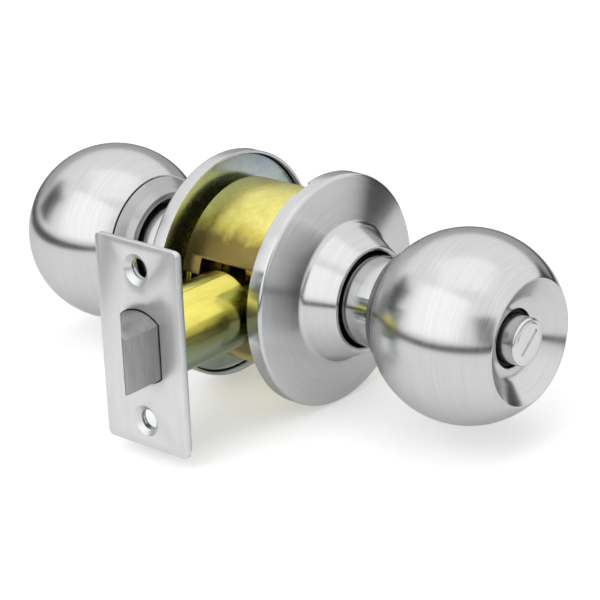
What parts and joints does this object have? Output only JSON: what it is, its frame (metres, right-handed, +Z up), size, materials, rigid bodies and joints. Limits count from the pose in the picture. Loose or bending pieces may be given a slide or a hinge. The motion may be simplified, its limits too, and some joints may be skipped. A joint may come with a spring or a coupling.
{
  "type": "door knob",
  "caption": "Cylindrical door knob set: dished round knobs, push-button inside and key outside, raised round roses, drum chassis with sliding retractor, and a bevelled spring latch.",
  "frame": {"origin": "where the latch's centre line meets the axis that the knobs turn on", "axes": "+Z up, +Y along the knobs' axis from the inside knob to the outside knob, -X the way the latch points"},
  "size_m": [0.1045, 0.1684, 0.065],
  "materials": {
    "satin_stainless": "satin stainless steel, turned or brushed",
    "polished_stainless": "polished stainless steel tube",
    "yellow_zinc": "steel with yellow chromate zinc plating",
    "clear_zinc": "steel with clear blue-white zinc plating",
    "spring_steel": "oiled spring steel",
    "brass": "turned brass"
  },
  "bodies": {
    "chassis": {"chassis_case": "yellow_zinc", "inside_end_plate": "yellow_zinc", "outside_end_plate": "yellow_zinc", "inside_hub": "yellow_zinc", "outside_hub": "yellow_zinc", "upper_retractor_guide": "yellow_zinc", "lower_retractor_guide": "yellow_zinc", "spring_seat": "clear_zinc", "upper_retractor_spring": "spring_steel", "lower_retractor_spring": "spring_steel", "upper_screw_post": "yellow_zinc", "lower_screw_post": "yellow_zinc", "inside_mounting_plate": "clear_zinc", "upper_mounting_screw": "clear_zinc", "lower_mounting_screw": "clear_zinc", "inside_rose": "satin_stainless", "outside_rose": "satin_stainless", "outside_rose_liner": "clear_zinc", "latch_faceplate": "satin_stainless", "latch_backplate": "clear_zinc", "latch_tube": "yellow_zinc", "latch_tube_cap": "yellow_zinc", "latch_spring": "spring_steel"},
    "retractor": {"retractor_slide": "yellow_zinc"},
    "bolt": {"latch_bolt": "satin_stainless", "latch_tail": "yellow_zinc"},
    "inside_knob": {"inside_knob_shell": "satin_stainless", "inside_knob_collar": "satin_stainless", "inside_knob_shank": "polished_stainless", "inside_spindle": "yellow_zinc", "button_guide": "clear_zinc", "inside_catch_seat": "yellow_zinc", "inside_catch_spring": "spring_steel", "button_spring": "spring_steel"},
    "inside_catch": {"inside_knob_catch": "spring_steel"},
    "button_slider": {"button_washer": "clear_zinc"},
    "button": {"push_button": "satin_stainless", "lock_bar": "yellow_zinc", "lock_plunger": "clear_zinc"},
    "outside_knob": {"outside_knob_shell": "satin_stainless", "outside_knob_collar": "satin_stainless", "outside_knob_shank": "polished_stainless", "outside_spindle": "yellow_zinc", "key_cylinder": "brass", "outside_catch_seat": "yellow_zinc", "outside_catch_spring": "spring_steel"},
    "outside_catch": {"outside_knob_catch": "spring_steel"},
    "key_plug": {"key_plug": "brass", "tailpiece": "yellow_zinc"}
  },
  "joints": [
    {"name": "inside_knob_turn", "type": "hinge", "parent": "chassis", "child": "inside_knob", "pos_m": [0, 0, 0], "axis": [0, 1, 0], "range_deg": [0, 60], "stiffness_Nm_per_rad": 0.3, "springref_deg": -28.65},
    {"name": "outside_knob_turn", "type": "hinge", "parent": "chassis", "child": "outside_knob", "pos_m": [0, 0, 0], "axis": [0, 1, 0], "range_deg": [0, 60]},
    {"name": "retractor_travel", "type": "slide", "parent": "chassis", "child": "retractor", "axis": [1, 0, 0], "range_m": [0, 0.012], "deforming": ["upper_retractor_spring", "lower_retractor_spring"]},
    {"name": "bolt_travel", "type": "slide", "parent": "chassis", "child": "bolt", "axis": [1, 0, 0], "range_m": [0, 0.012], "deforming": ["latch_spring"]},
    {"name": "button_push", "type": "slide", "parent": "inside_knob", "child": "button_slider", "axis": [0, 1, 0], "range_m": [0, 0.0035], "stiffness_N_per_m": 300, "springref_m": -0.003, "deforming": ["button_spring"]},
    {"name": "button_turn", "type": "hinge", "parent": "button_slider", "child": "button", "pos_m": [0, 0, 0], "axis": [0, 1, 0], "range_deg": [0, 90]},
    {"name": "key_turn", "type": "hinge", "parent": "outside_knob", "child": "key_plug", "pos_m": [0, 0, 0], "axis": [0, 1, 0], "range_deg": [-90, 90]},
    {"name": "inside_catch_press", "type": "slide", "parent": "inside_knob", "child": "inside_catch", "axis": [0.9945, 0, -0.1045], "range_m": [0, 0.0015], "stiffness_N_per_m": 400, "springref_m": -0.002, "deforming": ["inside_catch_spring"]},
    {"name": "outside_catch_press", "type": "slide", "parent": "outside_knob", "child": "outside_catch", "axis": [-1, 0, 0], "range_m": [0, 0.0015], "stiffness_N_per_m": 400, "springref_m": -0.002, "deforming": ["outside_catch_spring"]}
  ],
  "couplings": [
    {"joint": "outside_knob_turn", "follows": "inside_knob_turn", "ratio": 1},
    {"joint": "retractor_travel", "follows": "inside_knob_turn", "m_per_rad": 0.011459},
    {"joint": "bolt_travel", "follows": "inside_knob_turn", "m_per_rad": 0.011459}
  ]
}
